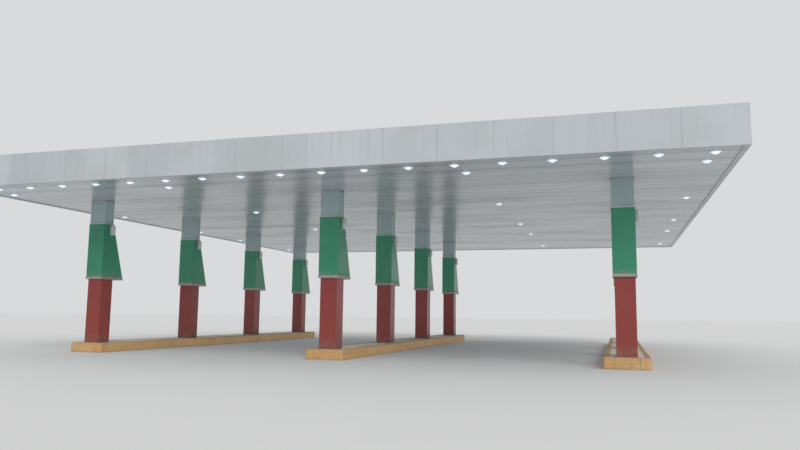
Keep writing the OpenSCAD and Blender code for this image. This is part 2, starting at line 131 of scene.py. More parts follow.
def kerb_paint():
    """Road paint rolled on cast concrete: an even, dull film over the pores, faded in the sun, scuffed by
    tyres below and by feet above, and chipped to the concrete on its arrises. The pores and the grit are
    drawn some four times as coarse as real ones."""
    material, tree, shader, place = new_finish("ochre_road_paint")
    wear = add(tree, "Attribute", {}, attribute_name="wear").outputs["Fac"]
    tone = add(tree, "Attribute", {}, attribute_name="tone").outputs["Fac"]
    pores = add(tree, "TexVoronoi", {"Vector": place, "Scale": 1000 / 24})
    pits = add(tree, "MapRange", {"Value": pores.outputs["Distance"], "From Min": 0.10, "From Max": 0.17,
                                  "To Min": 1.0, "To Max": 0.0})
    grain = add(tree, "TexNoise", {"Vector": place, "Scale": 1000 / 38, "Detail": 8.0, "Roughness": 0.62})
    loose = add(tree, "Math", {0: wear, 1: 0.15, 2: grain}, operation="MULTIPLY_ADD")
    chips = add(tree, "MapRange", {"Value": loose, "From Min": 0.645, "From Max": 0.66})
    tyres = patches(tree, place, 95, 0.63, 0.70, 4.0, (0.22, 0.22, 1.1))
    soles = patches(tree, place, 85, 0.58, 0.75, 5.0)
    facing = add(tree, "NewGeometry", {}).outputs["Normal"]
    on_top = add(tree, "SeparateXYZ", {"Vector": facing}).outputs["Z"]
    grime = patches(tree, place, 70, 0.25, 0.6)
    colour = layered(tree, "#b48a53",
                     ("#be9763", tone, 0.7),
                     ("#c6a77a", patches(tree, place, 420, 0.4, 0.7, 2.0), 0.35),
                     ("#a3794a", patches(tree, place, 55, 0.4, 0.7, 5.0), 0.3),
                     ("#8b6d43", pits, 0.6),
                     ("#877e70", soles, on_top, 0.6),
                     ("#47413a", tyres, low_down(tree, place, 0.18, 0.27), 0.62),
                     ("#9b9387", chips),
                     ("#6d6355", low_down(tree, place, 0.0, 0.07), grime, 0.6))
    rough = add(tree, "MapRange", {"Value": chips, "To Min": 0.55, "To Max": 0.9})
    grit = add(tree, "TexNoise", {"Vector": place, "Scale": 1000 / 9, "Detail": 3.0})
    pitted = add(tree, "Math", {0: pits, 1: -0.9, 2: grit}, operation="MULTIPLY_ADD")
    surface = add(tree, "Math", {0: chips, 1: -0.8, 2: pitted}, operation="MULTIPLY_ADD")
    bump = add(tree, "Bump", {"Height": surface, "Strength": 0.8, "Distance": 0.0014})
    feed(tree, shader, {"Base Color": colour, "Roughness": rough, "Normal": bump})
    return material


def drawn():
    """An empty mesh to draw in, with each vertex's wear and tone from 0 to 1."""
    shape = bmesh.new()
    return shape, shape.verts.layers.float.new("wear"), shape.verts.layers.float.new("tone")


def placed(name, data):
    """A new object in the scene."""
    made = bpy.data.objects.new(name, data)
    bpy.context.scene.collection.objects.link(made)
    return made


def piece(name, shape, finish, slot, *stands_for, smooth=False):
    """Makes a drawn mesh a piece of the canopy."""
    bmesh.ops.remove_doubles(shape, verts=shape.verts, dist=WELD)
    bmesh.ops.recalc_face_normals(shape, faces=shape.faces)
    mesh = bpy.data.meshes.new(name)
    shape.to_mesh(mesh)
    shape.free()
    mesh.materials.append(finish)
    if smooth:
        mesh.shade_smooth()
        mesh.set_sharp_from_angle(angle=CREASE)
    made = placed(name, mesh)
    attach(made, "root")
    if stands_for:
        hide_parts(*stands_for)


def bridge(shape, rings, capped=True):
    """Joins closed rings of vertices in turn with faces, and caps the two ends."""
    for low, high in zip(rings, rings[1:]):
        for i in range(len(low)):
            j = (i + 1) % len(low)
            shape.faces.new((low[i], low[j], high[j], high[i]))
    if capped:
        shape.faces.new(rings[0])
        shape.faces.new(rings[-1])


def kerb_section(height, shrink):
    """Section of a kerb stone as depth behind the outer face, height, and wear."""
    c = KERB_CHAMFER
    points = [(0, 0, 0.2), (0, height - c - KERB_WEAR_BAND, 0), (0, height - c, 1), (c, height, 1),
              (c + KERB_WEAR_BAND, height, 0), (KERB_THICK - KERB_ARRIS, height, 0.4),
              (KERB_THICK, height - KERB_ARRIS, 0.4), (KERB_THICK, 0, 0)]
    return [(min(max(d, shrink), KERB_THICK - shrink), min(z, height - shrink), w) for d, z, w in points]


def kerb_stations(low, high):
    """The kerb's way round an island: a list of stones, each a list of (place at a depth, shrink, wear)."""
    r = KERB_CORNER
    arris, band = KERB_ARRIS, KERB_WEAR_BAND
    centre = (low + high) / 2
    half = (high - low) / 2
    leg_x, leg_y = half.x - KERB_CORNER_LEG, half.y - KERB_CORNER_LEG

    def along(sx, sy, along_x, at):
        """The place at depth d on a straight side, at a distance from the island's middle."""
        if along_x:
            return lambda d: (centre.x + at, centre.y + sy * (half.y - d))
        return lambda d: (centre.x + sx * (half.x - d), centre.y + at)

    def turned(sx, sy, share):
        """The place at depth d on a corner; past the corner's radius it is the inner mitre."""
        a = share * math.pi / 2
        x, y = centre.x + sx * (half.x - r), centre.y + sy * (half.y - r)

        def at(d):
            if d <= r:
                return x + sx * (r - d) * math.cos(a), y + sy * (r - d) * math.sin(a)
            return x - sx * (d - r), y - sy * (d - r)
        return at

    def stone(places):
        """Gives a stone its arrises and worn bands at both ends."""
        last = len(places) - 1
        return [(spot, arris if i in (0, last) else 0, 1 if i in (0, 1, last - 1, last) else 0)
                for i, spot in enumerate(places)]

    def straight(sx, sy, along_x, start, end):
        """A straight stone between two distances from the island's middle."""
        stops = (start, start + arris, start + band, end - band, end - arris, end)
        return stone([along(sx, sy, along_x, at) for at in stops])

    stones = []
    for sx, sy in ((1, 1), (-1, 1), (-1, -1), (1, -1)):
        up = [along(sx, sy, False, sy * (leg_y + s)) for s in (0, arris, band)]
        turn = [turned(sx, sy, i / CORNER_STEPS) for i in range(CORNER_STEPS + 1)]
        back = [along(sx, sy, True, sx * (leg_x + s)) for s in (band, arris, 0)]
        stones.append(stone(up + turn + back))
    gap = KERB_JOINT / 2
    span = 2 * leg_y
    n = round(span / KERB_STONE)
    for sx in (-1, 1):
        for i in range(n):
            start = -leg_y + i * span / n
            stones.append(straight(sx, 0, False, start + gap, start + span / n - gap))
    for sy in (-1, 1):
        stones.append(straight(0, sy, True, gap - leg_x, leg_x - gap))
    return stones


def kerb(name, node):
    """The stones of one kerb: each has its own tone and lies a little lower or higher than the next."""
    low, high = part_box(node)
    shape, wear, tone = drawn()
    for stone in kerb_stations(low, high):
        shade, sink = dice.random(), dice.uniform(0, KERB_SLACK)
        rings = []
        for spot, shrink, worn in stone:
            ring = []
            for d, z, w in kerb_section(high.z - sink, shrink):
                vert = shape.verts.new((*spot(d), z))
                vert[wear], vert[tone] = max(w, worn if z > 0 else 0), shade
                ring.append(vert)
            rings.append(ring)
        bridge(shape, rings)
    piece(name, shape, kerb_finish, "kerb", node)


def kerb_mortar(name, node):
    """The bedding and joints behind the stones' faces, as one ring."""
    low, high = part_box(node)
    out, back, top = MORTAR_INSET, KERB_THICK - MORTAR_INSET, high.z - MORTAR_INSET
    section = ((out, 0), (out, top - KERB_CHAMFER), (KERB_CHAMFER + out, top), (back, top), (back, 0))
    shape = bmesh.new()
    rings = []
    for sx, sy in ((-1, -1), (1, -1), (1, 1), (-1, 1)):
        x, y = (low if sx < 0 else high).x, (low if sy < 0 else high).y
        ring = []
        for d, z in section:
            inset = d + MORTAR_CORNER if d == out else d
            ring.append(shape.verts.new((x - sx * inset, y - sy * inset, z)))
        rings.append(ring)
    bridge(shape, rings + [rings[0]], capped=False)
    piece(name, shape, mortar_finish, "kerb")


def joint_mortar():
    """Sand and cement mortar: grey, matt and gritty, with its sand drawn coarse enough to show."""
    material, tree, shader, place = new_finish("joint_mortar", Roughness=0.92)
    colour = layered(tree, "#5d5448", ("#746a5a", patches(tree, place, 40, 0.35, 0.65)))
    grit = add(tree, "TexNoise", {"Vector": place, "Scale": 1000 / 5})
    bump = add(tree, "Bump", {"Height": grit, "Distance": 0.001})
    feed(tree, shader, {"Base Color": colour, "Normal": bump})
    return material


dice = random.Random(11)
kerb_finish = kerb_paint()
mortar_finish = joint_mortar()
for row in ROWS:
    kerb("kerb_stones_" + row, "island_kerb_" + row)
    kerb_mortar("kerb_mortar_" + row, "island_kerb_" + row)

# Island paving: cast concrete tiles with a trowelled face, a quarter metre square, bedded inside the
# kerbs with mortar in their joints. Each tile has its own tone, and traffic has stained them.
TILE = 0.25
TILE_JOINT = 0.008
TILE_THICK = 0.028
TILE_ARRIS = 0.002
TILE_SLACK = 0.0006
JOINT_DROP = 0.004


def trowelled_concrete():
    """Trowelled concrete: matt, pale and sandy, with faint sweeps of the trowel and spots of oil. The pores
    and the sand are drawn some three times as coarse as real ones."""
    material, tree, shader, place = new_finish("trowelled_concrete_tile")
    tone = add(tree, "Attribute", {}, attribute_name="tone").outputs["Fac"]
    pores = add(tree, "TexVoronoi", {"Vector": place, "Scale": 1000 / 11})
    pits = add(tree, "MapRange", {"Value": pores.outputs["Distance"], "From Min": 0.12, "From Max": 0.2,
                                  "To Min": 0.5, "To Max": 0.0})
    oil = patches(tree, place, 95, 0.67, 0.74, 3.0)
    colour = layered(tree, "#d1c3ac",
                     ("#e4d8c3", tone),
                     ("#d3c8b2", patches(tree, place, 160, 0.4, 0.6, 3.0, (1, 0.3, 1)), 0.5),
                     ("#8e8472", pits),
                     ("#857a68", patches(tree, place, 420, 0.5, 0.75, 6.0), 0.4),
                     ("#4b443b", oil, 0.5))
    rough = add(tree, "MapRange", {"Value": oil, "To Min": 0.75, "To Max": 0.45})
    sand = add(tree, "TexNoise", {"Vector": place, "Scale": 1000 / 4, "Detail": 3.0})
    bump = add(tree, "Bump", {"Height": sand, "Distance": 0.0004})
    feed(tree, shader, {"Base Color": colour, "Roughness": rough, "Normal": bump})
    return material


def slab(shape, low, high):
    """Draws a flat block with an arris round its top, and gives its vertices."""
    rings = []
    for z, inset in ((low.z, 0), (high.z - TILE_ARRIS, 0), (high.z, TILE_ARRIS)):
        x0, y0, x1, y1 = low.x + inset, low.y + inset, high.x - inset, high.y - inset
        rings.append([shape.verts.new((x, y, z)) for x, y in ((x0, y0), (x1, y0), (x1, y1), (x0, y1))])
    bridge(shape, rings)
    return sum(rings, [])


def paving(row):
    """An island's tiles, and the mortar that they lie in."""
    low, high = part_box("island_paving_" + row)
    tiles, _, tone = drawn()
    size = high - low
    across, along = round(size.x / TILE), round(size.y / TILE)
    dx, dy = size.x / across, size.y / along
    gap = TILE_JOINT / 2
    for i in range(across):
        for j in range(along):
            corner = Vector((low.x + i * dx, low.y + j * dy, high.z))
            foot = corner + Vector((gap, gap, -TILE_THICK))
            head = corner + Vector((dx - gap, dy - gap, dice.uniform(-TILE_SLACK, 0)))
            shade = dice.random()
            for vert in slab(tiles, foot, head):
                vert[tone] = shade
    piece("paving_tiles_" + row, tiles, tile_finish, "paving", "island_paving_" + row)
    bed = bmesh.new()
    slab(bed, low, high - Vector((0, 0, JOINT_DROP)))
    piece("paving_bed_" + row, bed, mortar_finish, "paving")


tile_finish = trowelled_concrete()
for row in ROWS:
    paving(row)

# Posts: square hollow steel sections on base plates, which carry the whole head. They are shop primed,
# and the casings hide them.


def primed_steel():
    """Zinc primer sprayed on rolled steel: dull grey, with a little rust coming through."""
    material, tree, shader, place = new_finish("grey_zinc_primer")
    rust = patches(tree, place, 60, 0.67, 0.76, 6.0)
    colour = layered(tree, "#85898d",
                     ("#94989b", patches(tree, place, 500, 0.35, 0.65)),
                     ("#74482c", rust, 0.6))
    rough = add(tree, "MapRange", {"Value": rust, "To Min": 0.6, "To Max": 0.85})
    mill = add(tree, "TexNoise", {"Vector": place, "Scale": 1000 / 12, "Detail": 4.0})
    bump = add(tree, "Bump", {"Height": mill, "Distance": 0.0005})
    feed(tree, shader, {"Base Color": colour, "Roughness": rough, "Normal": bump})
    return material


def dress(node, material):
    """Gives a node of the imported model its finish."""
    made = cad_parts[node]
    made.data.materials.clear()
    made.data.materials.append(material)


primer = primed_steel()
for row in ROWS:
    dress("posts_" + row, primer)

# Red lower casings: dark red aluminium composite panels folded round a light frame. They stand on the
# paving in a bead of sealant, are pop riveted along both sides of each corner, and have a level joint.
FOLD_R = 0.008
FOLD_STEPS = 4
CASING_WALL = 0.015
PANEL_JOINT = 0.012
PANEL_JOINT_DEPTH = 0.006
PANEL_WEAR_BAND = 0.040
RIVET_R = 0.0045
RIVET_H = 0.002
RIVET_IN = 0.030
RIVET_PITCH = 0.30
RED_JOINT_Z = 1.45
BEAD_LEG = 0.012
BEAD_SECTION = ((0, 0.5), (0, -1), (0.35, -0.45), (1, -0.05), (1, 0.5))
DOME_SECTION = ((1, -0.3), (0.8, 0.6), (0.35, 1))
DOME_SIDES = 8
SAME_PLACE = 0.0001


def coated_panel(name, colour, faded, roughness, foot, splash=0.4, knocks=0.0):
    """Gloss coil coating on aluminium: an even colour and a clear sheen over slight waves. Rain leaves
    faint streaks, the foot gathers dust, and knocks, if any, leave pale scratches at bumper height."""
    material, tree, shader, place = new_finish(name)
    wear = add(tree, "Attribute", {}, attribute_name="wear").outputs["Fac"]
    tone = add(tree, "Attribute", {}, attribute_name="tone").outputs["Fac"]
    streak = patches(tree, place, 130, 0.52, 0.8, 3.0, (1, 1, 0.07))
    dust = patches(tree, place, 120, 0.3, 0.65, 6.0)
    near_foot = low_down(tree, place, foot, foot + splash)
    grain = add(tree, "TexNoise", {"Vector": place, "Scale": 1000 / 26, "Detail": 6.0, "Roughness": 0.6})
    loose = add(tree, "Math", {0: wear, 1: 0.12, 2: grain}, operation="MULTIPLY_ADD")
    chips = add(tree, "MapRange", {"Value": loose, "From Min": 0.755, "From Max": 0.77})
    coats = [(faded, patches(tree, place, 1100, 0.3, 0.7, 2.0), 0.6),
             (faded, tone, 0.5),
             ("#57534a", streak, 0.13),
             ("#85796a", near_foot, dust, 0.45)]
    if knocks:
        scratch = patches(tree, place, 60, 0.70, 0.73, 3.0, (0.3, 0.3, 9.0))
        coats.append(("#b3a79c", scratch, low_down(tree, place, foot + 0.7, foot + 1.1), knocks))
    colour = layered(tree, colour, *coats, ("#a7a8a6", chips, 0.8))
    soiled = add(tree, "Math", {0: near_foot, 1: streak}, operation="MAXIMUM")
    rough = add(tree, "MapRange", {"Value": soiled, "To Min": roughness, "To Max": roughness + 0.25})
    wave = add(tree, "TexNoise", {"Vector": place, "Scale": 1000 / 650, "Detail": 1.0})
    bump = add(tree, "Bump", {"Height": wave, "Strength": 0.5, "Distance": 0.009})
    feed(tree, shader, {"Base Color": colour, "Roughness": rough, "Normal": bump})
    return material


def folded_plan(half_w, front, back, inset, radius=FOLD_R):
    """A rectangle with folded corners in plan, as (x, y, wear) from the front right corner round."""
    w, f, b = half_w - inset, front + inset, back - inset
    points = []
    for sx, y, sy, turn in ((1, f, -1, -90), (1, b, 1, 0), (-1, b, 1, 90), (-1, f, -1, 180)):
        arc = [math.radians(turn + 90 * i / FOLD_STEPS) for i in range(FOLD_STEPS + 1)]
        bend = [(sx * (w - radius) + radius * math.cos(a), y - sy * radius + radius * math.sin(a), 1)
                for a in arc]
        along_x = (sx * (w - PANEL_WEAR_BAND), y, 0)
        along_y = (sx * w, y - sy * PANEL_WEAR_BAND, 0)
        points += [along_x, *bend, along_y] if turn in (-90, 90) else [along_y, *bend, along_x]
    return points


def hoop(shape, layers, x, y, plan_at, profile):
    """A sheet or trim all round a column. The plan at a height is drawn at each point of the profile,
    which gives height, inset and wear, and the profile closes on itself."""
    wear, tone = layers
    shade = dice.random()
    rings = []
    for z, inset, worn in profile:
        ring = []
        for px, py, bent in plan_at(z, inset):
            vert = shape.verts.new((x + px, y + py, z))
            vert[wear], vert[tone] = max(bent, worn), shade
            ring.append(vert)
        rings.append(ring)
    bridge(shape, rings + [rings[0]], capped=False)


def panel_profile(low, high, joint):
    """Profile of a panelled wall, with its worn ends and a groove at its level joint."""
    under, over = joint - PANEL_JOINT / 2, joint + PANEL_JOINT / 2
    return [(low, 0, 1), (low + PANEL_WEAR_BAND, 0, 0),
            (under, 0, 0.6), (under, PANEL_JOINT_DEPTH, 0.3), (over, PANEL_JOINT_DEPTH, 0.3), (over, 0, 0.6),
            (high - PANEL_WEAR_BAND, 0, 0), (high, 0, 1), (high, CASING_WALL, 0), (low, CASING_WALL, 0)]


def lathe(shape, at, out, across, sides, profile):
    """Rings of vertices: a profile of (radius, height) turned round an axis, from a line across it."""
    up = out.cross(across)
    turn = [2 * math.pi * i / sides for i in range(sides)]
    return [[shape.verts.new(at + out * h + (across * math.cos(a) + up * math.sin(a)) * r) for a in turn]
            for r, h in profile]


def dome_head(shape, at, out, radius, height):
    """A small domed rivet or screw head that stands on a face."""
    section = [(wide * radius, high * height) for wide, high in DOME_SECTION]
    bridge(shape, lathe(shape, at, out, out.orthogonal().normalized(), DOME_SIDES, section))


def corner_rivets(shape, x, y, low, high, front, back_at, half_w):
    """Pop rivets down both sides of each corner of a casing, between two heights."""
    n = max(2, round((high - low) / RIVET_PITCH))
    for i in range(n):
        z = low + (i + 0.5) * (high - low) / n
        for sx in (-1, 1):
            for face, sy in ((front, -1), (back_at(z), 1)):
                on_face = Vector((x + sx * (half_w - RIVET_IN), y + face, z))
                on_side = Vector((x + sx * half_w, y + face - sy * RIVET_IN, z))
                dome_head(shape, on_face, Vector((0, sy, 0)), RIVET_R, RIVET_H)
                dome_head(shape, on_side, Vector((sx, 0, 0)), RIVET_R, RIVET_H)


def solids(node):
    """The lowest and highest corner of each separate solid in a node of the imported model."""
    shape = bmesh.new()
    shape.from_mesh(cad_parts[node].data)
    bmesh.ops.remove_doubles(shape, verts=shape.verts, dist=SAME_PLACE)
    seen, boxes = set(), []
    for start in shape.verts:
        if start.index in seen:
            continue
        seen.add(start.index)
        reached, waiting = [], [start]
        while waiting:
            vert = waiting.pop()
            reached.append(vert.co.copy())
            for other in (edge.other_vert(vert) for edge in vert.link_edges):
                if other.index not in seen:
                    seen.add(other.index)
                    waiting.append(other)
        boxes.append([Vector([pick(c[i] for c in reached) for i in range(3)]) for pick in (min, max)])
    shape.free()
    return sorted(boxes, key=lambda b: (round(b[0].x, 3), round(b[0].y, 3)))


def mill_aluminium():
    """Bare rolled aluminium: pale metal, a little cloudy from the rolls."""
    material, tree, shader, place = new_finish("mill_aluminium", Metallic=1.0)
    colour = layered(tree, "#a9abac", ("#b4b6b7", patches(tree, place, 25, 0.3, 0.7)))
    cloud = patches(tree, place, 12, 0.3, 0.7)
    rough = add(tree, "MapRange", {"Value": cloud, "To Min": 0.36, "To Max": 0.46})
    feed(tree, shader, {"Base Color": colour, "Roughness": rough})
    return material


def dark_sealant():
    """Gunned polyurethane sealant: dark, dull and dusty."""
    material, tree, shader, place = new_finish("dark_sealant", Roughness=0.6)
    colour = layered(tree, "#3d3a37", ("#6a6155", patches(tree, place, 30, 0.4, 0.65)))
    feed(tree, shader, {"Base Color": colour})
    return material


aluminium, sealant = mill_aluminium(), dark_sealant()
island_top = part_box("island_paving_middle")[1].z
red_finish = coated_panel("dark_red_coated_panel", "#7d2a23", "#873631", 0.28, island_top, 0.45, 0.4)
for row in ROWS:
    panels, *layers = drawn()
    beads, *bead_layers = drawn()
    rivets = bmesh.new()
    for low, high in solids("red_casings_" + row):
        x, y = (low.x + high.x) / 2, (low.y + high.y) / 2
        half_w, half_d = (high.x - low.x) / 2, (high.y - low.y) / 2

        def plan(z, inset):
            """The casing's outline at a height."""
            return folded_plan(half_w, -half_d, half_d, inset)

        bead = [(low.z + up * BEAD_LEG, inset * BEAD_LEG, 0) for up, inset in BEAD_SECTION]
        hoop(panels, layers, x, y, plan, panel_profile(low.z, high.z, RED_JOINT_Z))
        hoop(beads, bead_layers, x, y, plan, bead)
        for start, end in ((low.z, RED_JOINT_Z), (RED_JOINT_Z, high.z)):
            corner_rivets(rivets, x, y, start, end, -half_d, lambda z: half_d, half_w)
    piece("red_panels_" + row, panels, red_finish, "red_panel", "red_casings_" + row, smooth=True)
    piece("foot_beads_" + row, beads, sealant, "red_panel", smooth=True)
    piece("red_rivets_" + row, rivets, aluminium, "red_panel", smooth=True)

# Grey bands: a folded aluminium tray round each column. It closes the top of the red casing, stands out
# past it all round, and its level underside carries the green casing's feet.


def anodised(name, colour, faded, roughness):
    """Satin anodised aluminium: a soft metal sheen, sooty patches, and a fine upright grain, drawn coarse
    enough to show."""
    material, tree, shader, place = new_finish(name, Metallic=0.55)
    soot = patches(tree, place, 70, 0.5, 0.78, 6.0)
    colour = layered(tree, colour, (faded, patches(tree, place, 300, 0.35, 0.65)), ("#5e5a52", soot, 0.3))
    rough = add(tree, "MapRange", {"Value": soot, "To Min": roughness, "To Max": roughness + 0.2})
    where = add(tree, "Mapping", {"Vector": place, "Scale": (1, 1, 0.05)})
    grain = add(tree, "TexNoise", {"Vector": where, "Scale": 1000 / 4})
    bump = add(tree, "Bump", {"Height": grain, "Distance": 0.00015})
    feed(tree, shader, {"Base Color": colour, "Roughness": rough, "Normal": bump})
    return material


grey_band_finish = anodised("grey_anodised_tray", "#96938f", "#a19e99", 0.4)
for row in ROWS:
    dress("grey_bands_" + row, grey_band_finish)

# Green upper casings: the same composite panel in green. The front stands upright, the sides taper, and
# the back rakes out to more than twice the depth at its foot, where it rests on the grey band.
GREEN_JOINT_SHARE = 0.5
green_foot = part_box("green_casings_middle")[0].z
green_finish = coated_panel("green_coated_panel", "#237a59", "#2f8665", 0.24, green_foot, 0.2)
for row in ROWS:
    panels, *layers = drawn()
    rivets = bmesh.new()
    posts = solids("posts_" + row)
    for low, high in solids("green_casings_" + row):
        x, half_w = (low.x + high.x) / 2, (high.x - low.x) / 2
        post = min(posts, key=lambda p: abs(p[0].y - low.y))
        axis = (post[0].y + post[1].y) / 2
        front, foot_back, head_back = low.y - axis, high.y - axis, axis - low.y

        def back_at(z):
            """Where the raked back is at a height, from the post's axis."""
            return foot_back + (head_back - foot_back) * (z - low.z) / (high.z - low.z)

        def plan(z, inset):
            """The casing's outline at a height."""
            return folded_plan(half_w, front, back_at(z), inset)

        middle = low.z + GREEN_JOINT_SHARE * (high.z - low.z)
        hoop(panels, layers, x, axis, plan, panel_profile(low.z, high.z, middle))
        for start, end in ((low.z, middle), (middle, high.z)):
            corner_rivets(rivets, x, axis, start, end, front, back_at, half_w)
    piece("green_panels_" + row, panels, green_finish, "green_panel", "green_casings_" + row, smooth=True)
    piece("green_rivets_" + row, rivets, aluminium, "green_panel", smooth=True)

# Neck casings: grey-green composite panels folded round the post, from inside the green casing up through
# the soffit. A small aluminium angle closes the gap where each neck meets the strips.
COLLAR_LEG = 0.030
COLLAR_SHEET = 0.002
neck_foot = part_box("top_trims")[0].z
neck_finish = coated_panel("grey_green_coated_panel", "#93a5a5", "#9db0b1", 0.3, neck_foot, 0.15)
soffit_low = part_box("soffit_front")[0].z
for row in ROWS:
    dress("neck_casings_" + row, neck_finish)
    collars, *layers = drawn()
    for low, high in solids("neck_casings_" + row):
        x, y = (low.x + high.x) / 2, (low.y + high.y) / 2
        half_w, half_d = (high.x - low.x) / 2, (high.y - low.y) / 2
        sheet, leg, top = COLLAR_SHEET, COLLAR_LEG, soffit_low

        def plan(z, inset):
            """The neck's outline at a height."""
            return folded_plan(half_w, -half_d, half_d, inset, sheet / 2)

        hoop(collars, layers, x, y, plan,
             [(top - leg, 0, 0), (top, 0, 0), (top, -leg, 0), (top - sheet, -leg, 0),
              (top - sheet, -sheet, 0), (top - leg, -sheet, 0)])
    piece("neck_collars_" + row, collars, aluminium, "pale_trim")

# Pale trims: a thin capping of folded aluminium, anodised, that closes the top of each green casing round
# the neck.
pale_finish = anodised("pale_anodised_capping", "#b3bbb7", "#bfc6c2", 0.36)
dress("top_trims", pale_finish)

# Side boxes: a small pale enclosure screwed high on the right-hand side of each green casing. A back
# tray carries a lid with rounded edges, a shadow line between them, and four lid screws.
BOX_TRAY_SHARE = 0.35
BOX_EDGE = 0.012
BOX_EDGE_STEPS = 4
BOX_TRAY_EDGE = 0.002
BOX_SHADOW = 0.003
BOX_SHADOW_EDGE = 0.0005
BOX_SCREW_R = 0.006
BOX_SCREW_H = 0.0018


def moulded_enclosure():
    """Moulded and painted enclosure: pale and satin, with dust in runs below its top, and the mould's
    texture drawn coarse enough to show."""
    material, tree, shader, place = new_finish("pale_moulded_enclosure", Roughness=0.42)
    colour = layered(tree, "#c9ccca",
                     ("#bdbfb8", patches(tree, place, 160, 0.35, 0.65)),
                     ("#8b8577", patches(tree, place, 40, 0.5, 0.75, 6.0, (1, 1, 0.3)), 0.3))
    skin = add(tree, "TexNoise", {"Vector": place, "Scale": 1000 / 3})
    bump = add(tree, "Bump", {"Height": skin, "Distance": 0.0001})
    feed(tree, shader, {"Base Color": colour, "Normal": bump})
    return material


def rounded_block(shape, low, high, fall):
    """A closed block with its edges along x rounded, whose outer face is eased off over the last fall."""
    rings = []
    for x, share in ((low.x, 0), (high.x - fall, 0), (high.x - fall * 0.3, 0.3), (high.x, 1)):
        inset = BOX_EDGE * share
        ring = []
        for sy, sz, turn in ((1, 1, 0), (-1, 1, 90), (-1, -1, 180), (1, -1, 270)):
            y = (high.y if sy > 0 else low.y) - sy * (inset + BOX_EDGE)
            z = (high.z if sz > 0 else low.z) - sz * (inset + BOX_EDGE)
            for i in range(BOX_EDGE_STEPS):
                a = math.radians(turn + 90 * i / (BOX_EDGE_STEPS - 1))
                ring.append(shape.verts.new((x, y + BOX_EDGE * math.cos(a), z + BOX_EDGE * math.sin(a))))
        rings.append(ring)
    bridge(shape, rings)


enclosure = moulded_enclosure()
boxes = bmesh.new()
for low, high in solids("side_boxes"):
    split = low.x + BOX_TRAY_SHARE * (high.x - low.x)
    lid = split + BOX_SHADOW
    rounded_block(boxes, low, Vector((split, high.y, high.z)), BOX_TRAY_EDGE)
    rounded_block(boxes, Vector((split, low.y + BOX_SHADOW, low.z + BOX_SHADOW)),
                  Vector((lid, high.y - BOX_SHADOW, high.z - BOX_SHADOW)), BOX_SHADOW_EDGE)
    rounded_block(boxes, Vector((lid, low.y, low.z)), high, BOX_EDGE)
    for y in (low.y + 2 * BOX_EDGE, high.y - 2 * BOX_EDGE):
        for z in (low.z + 2 * BOX_EDGE, high.z - 2 * BOX_EDGE):
            sunk = Vector((high.x - BOX_SCREW_H, y, z))
            dome_head(boxes, sunk, Vector((1, 0, 0)), BOX_SCREW_R, BOX_SCREW_H)
piece("side_enclosures", boxes, enclosure, "side_box", "side_boxes", smooth=True)

# Steel frame: girders along each row of posts, tapered cross beams over them, and the edge channels,
# all shop primed. The purlins, soffit carriers and gutters are galvanised.
SHEET_LAP = 0.008
for node in ["girder_" + row for row in ROWS] + ["cross_beams", "edge_channels"]:
    dress(node, primer)


def rows_of(tree, along, size):
    """Counts off rows of like sheets from a distance: each row's own tone, and the share across it."""
    rows = add(tree, "Math", {0: along, 1: size}, operation="DIVIDE")
    number = add(tree, "Math", {0: rows}, operation="FLOOR")
    tone = add(tree, "TexWhiteNoise", {"W": number}, noise_dimensions="1D").outputs["Value"]
    return tone, add(tree, "Math", {0: rows}, operation="FRACT")


def galvanised(name, bright, dull, rust, cover=0.0):
    """Hot-dip zinc: crystals of spangle some 15 mm across, each with its own tone, dulled by weather. Where
    sheets lie side by side at a cover width, each has its own tone and a dark line at its lap."""
    material, tree, shader, place = new_finish(name, Metallic=0.6)
    crystal = add(tree, "TexVoronoi", {"Vector": place, "Scale": 1000 / 15})
    tone = add(tree, "SeparateColor", {"Color": crystal.outputs["Color"]}).outputs["Red"]
    runs = patches(tree, place, 700, 0.45, 0.75, 5.0, (0.2, 1, 1))
    coats = [(bright, tone, 0.7), ("#8e8f8b", runs, 0.35)]
    if cover:
        y = add(tree, "SeparateXYZ", {"Vector": place}).outputs["Y"]
        sheet_tone, across = rows_of(tree, y, cover)
        lap = add(tree, "Math", {0: across, 1: SHEET_LAP / cover}, operation="LESS_THAN")
        coats += [("#c0c5c7", sheet_tone, 0.3), ("#55585a", lap, 0.7)]
    coats.append(("#7a5136", patches(tree, place, 45, 0.69, 0.77, 5.0), rust))
    colour = layered(tree, dull, *coats)
    rough = add(tree, "MapRange", {"Value": tone, "To Min": 0.48, "To Max": 0.58})
    bump = add(tree, "Bump", {"Height": tone, "Distance": 0.00003})
    feed(tree, shader, {"Base Color": colour, "Roughness": rough, "Normal": bump})
    return material


zinc = galvanised("hot_dip_zinc", "#b0b4b6", "#9ea2a4", 0.3)
for node in ("purlins", "soffit_carriers", "side_gutters"):
    dress(node, zinc)

# Soffit: roll-formed steel strips, 300 mm wide, clipped under the carriers across the whole width with
# an open joint between them. Their silver-grey coil coat is glossy, each strip is slightly hollow, and
# the strips are butted end to end every few metres, so that lamps mirror in them as short dashes.
STRIP_PITCH = 0.300
STRIP_LENGTH = 5.95
STRIP_BUTT = 0.007


